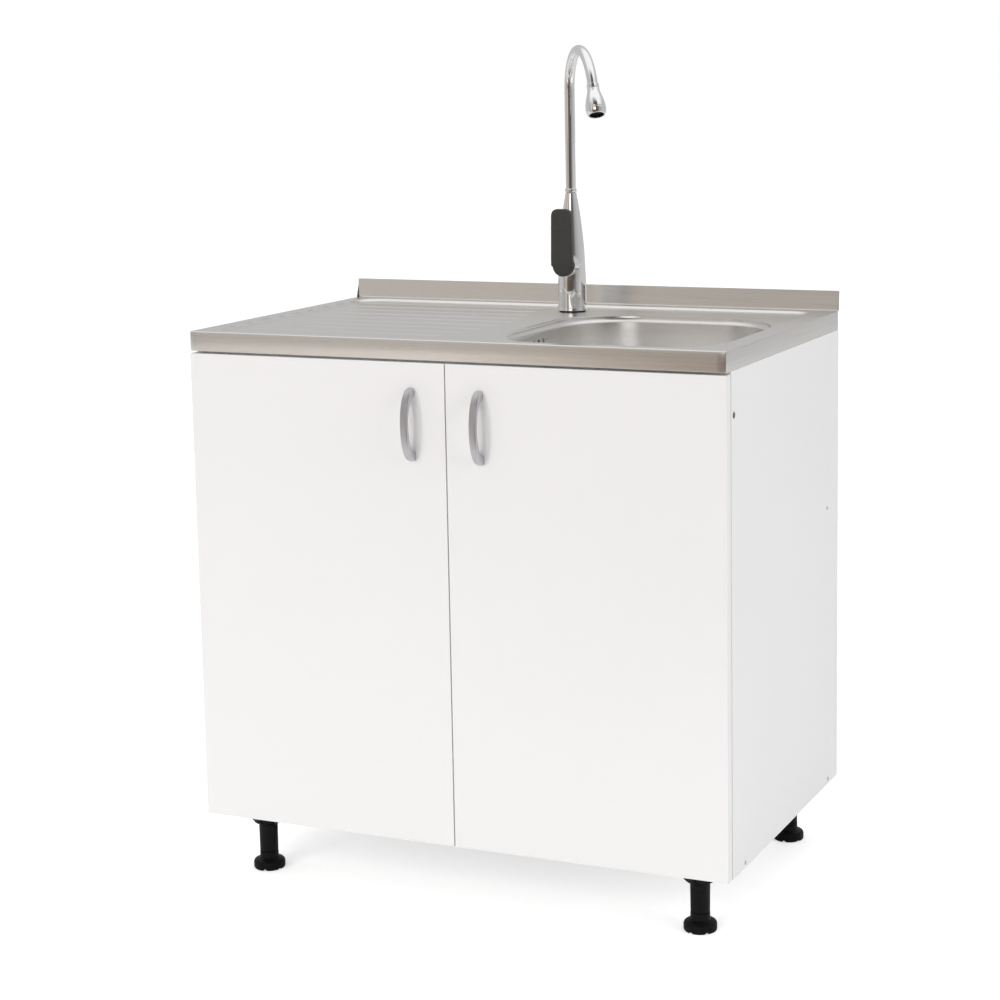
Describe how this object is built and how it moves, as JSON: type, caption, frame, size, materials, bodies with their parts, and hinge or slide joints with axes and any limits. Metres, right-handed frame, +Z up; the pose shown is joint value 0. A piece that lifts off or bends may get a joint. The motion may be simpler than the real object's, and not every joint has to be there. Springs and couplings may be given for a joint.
{
  "type": "sink unit with cabinet",
  "caption": "White cabinet on screw feet with two doors, a steel lay-on sink with drainer and bowl, a tall swivel mixer tap and a bottle trap.",
  "frame": {"origin": "on the floor, under the middle of the whole unit", "axes": "+Z up, -Y towards the user in front of the doors, +X to the user's right"},
  "size_m": [0.8, 0.5291, 1.1919],
  "materials": {
    "steel": "brushed stainless steel",
    "chrome": "polished chrome plate",
    "satin_chrome": "satin chrome plate",
    "zinc": "zinc-plated or nickel-plated steel",
    "charcoal": "charcoal satin lacquer",
    "white_board": "white melamine-faced board, smooth satin",
    "white_plastic": "white moulded plastic",
    "black_plastic": "black moulded plastic",
    "rubber": "black rubber"
  },
  "bodies": {
    "cabinet": {"sink_top": "steel", "bowl": "steel", "drain_cup": "steel", "tap_body": "chrome", "hot_inlet": "satin_chrome", "cold_inlet": "satin_chrome", "tap_stud": "zinc", "tap_nut": "zinc", "left_lower_hinge_arm": "zinc", "left_upper_hinge_arm": "zinc", "right_lower_hinge_arm": "zinc", "right_upper_hinge_arm": "zinc", "left_side": "white_board", "right_side": "white_board", "bottom_panel": "white_board", "front_rail": "white_board", "rear_top_rail": "white_board", "rear_middle_rail": "white_board", "overflow_housing": "white_plastic", "overflow_hose": "white_plastic", "drain_lock_nut": "white_plastic", "drain_tailpiece": "white_plastic", "tailpiece_nut": "white_plastic", "trap_body": "white_plastic", "dip_tube": "white_plastic", "trap_cup": "white_plastic", "waste_pipe": "white_plastic", "outlet_nut": "white_plastic", "cartridge": "white_plastic", "tap_washer": "black_plastic", "front_left_leg": "black_plastic", "front_right_leg": "black_plastic", "rear_left_leg": "black_plastic", "rear_right_leg": "black_plastic", "drain_seal": "rubber", "tap_seal": "rubber"},
    "left_hinge_links": {"left_lower_hinge_link": "zinc", "left_upper_hinge_link": "zinc"},
    "left_door": {"left_door": "white_board", "left_handle": "satin_chrome", "left_lower_hinge_cup": "zinc", "left_upper_hinge_cup": "zinc"},
    "right_hinge_links": {"right_lower_hinge_link": "zinc", "right_upper_hinge_link": "zinc"},
    "right_door": {"right_door": "white_board", "right_handle": "satin_chrome", "right_lower_hinge_cup": "zinc", "right_upper_hinge_cup": "zinc"},
    "spout": {"spout": "chrome", "spout_collar": "chrome", "nozzle": "chrome", "aerator": "black_plastic"},
    "lever_mount": {"cartridge_collar": "zinc"},
    "lever": {"lever": "charcoal", "lever_stem": "satin_chrome"},
    "strainer": {"strainer_basket": "steel"},
    "front_left_foot": {"front_left_foot": "black_plastic"},
    "front_right_foot": {"front_right_foot": "black_plastic"},
    "rear_left_foot": {"rear_left_foot": "black_plastic"},
    "rear_right_foot": {"rear_right_foot": "black_plastic"}
  },
  "joints": [
    {"name": "left_link_swing", "type": "hinge", "parent": "cabinet", "child": "left_hinge_links", "pos_m": [-0.374, -0.218, 0.4], "axis": [0, 0, 1], "range_deg": [0, 25]},
    {"name": "left_door_swing", "type": "hinge", "parent": "left_hinge_links", "child": "left_door", "pos_m": [-0.3921, -0.2289, 0.4], "axis": [0, 0, -1], "range_deg": [0, 125]},
    {"name": "right_link_swing", "type": "hinge", "parent": "cabinet", "child": "right_hinge_links", "pos_m": [0.374, -0.218, 0.4], "axis": [0, 0, -1], "range_deg": [0, 25]},
    {"name": "right_door_swing", "type": "hinge", "parent": "right_hinge_links", "child": "right_door", "pos_m": [0.3921, -0.2289, 0.4], "axis": [0, 0, 1], "range_deg": [0, 125]},
    {"name": "spout_swivel", "type": "hinge", "parent": "cabinet", "child": "spout", "pos_m": [0.009, 0.18, 0.98], "axis": [0, 0, 1], "range_deg": [-70, 70]},
    {"name": "lever_turn", "type": "hinge", "parent": "cabinet", "child": "lever_mount", "pos_m": [0.009, 0.156, 0.868], "axis": [0, -1, 0], "range_deg": [-45, 45]},
    {"name": "lever_lift", "type": "hinge", "parent": "lever_mount", "child": "lever", "pos_m": [0.009, 0.1486, 0.8505], "axis": [1, 0, 0], "range_deg": [0, 25]},
    {"name": "strainer_lift", "type": "slide", "parent": "cabinet", "child": "strainer", "axis": [0, 0, 1], "range_m": [0, 0.06]},
    {"name": "front_left_foot_screw", "type": "slide", "parent": "cabinet", "child": "front_left_foot", "axis": [0, 0, -1], "range_m": [0, 0.02]},
    {"name": "front_right_foot_screw", "type": "slide", "parent": "cabinet", "child": "front_right_foot", "axis": [0, 0, -1], "range_m": [0, 0.02]},
    {"name": "rear_left_foot_screw", "type": "slide", "parent": "cabinet", "child": "rear_left_foot", "axis": [0, 0, -1], "range_m": [0, 0.02]},
    {"name": "rear_right_foot_screw", "type": "slide", "parent": "cabinet", "child": "rear_right_foot", "axis": [0, 0, -1], "range_m": [0, 0.02]}
  ],
  "couplings": [
    {"joint": "left_link_swing", "follows": "left_door_swing", "ratio": 0.2},
    {"joint": "right_link_swing", "follows": "right_door_swing", "ratio": 0.2}
  ]
}
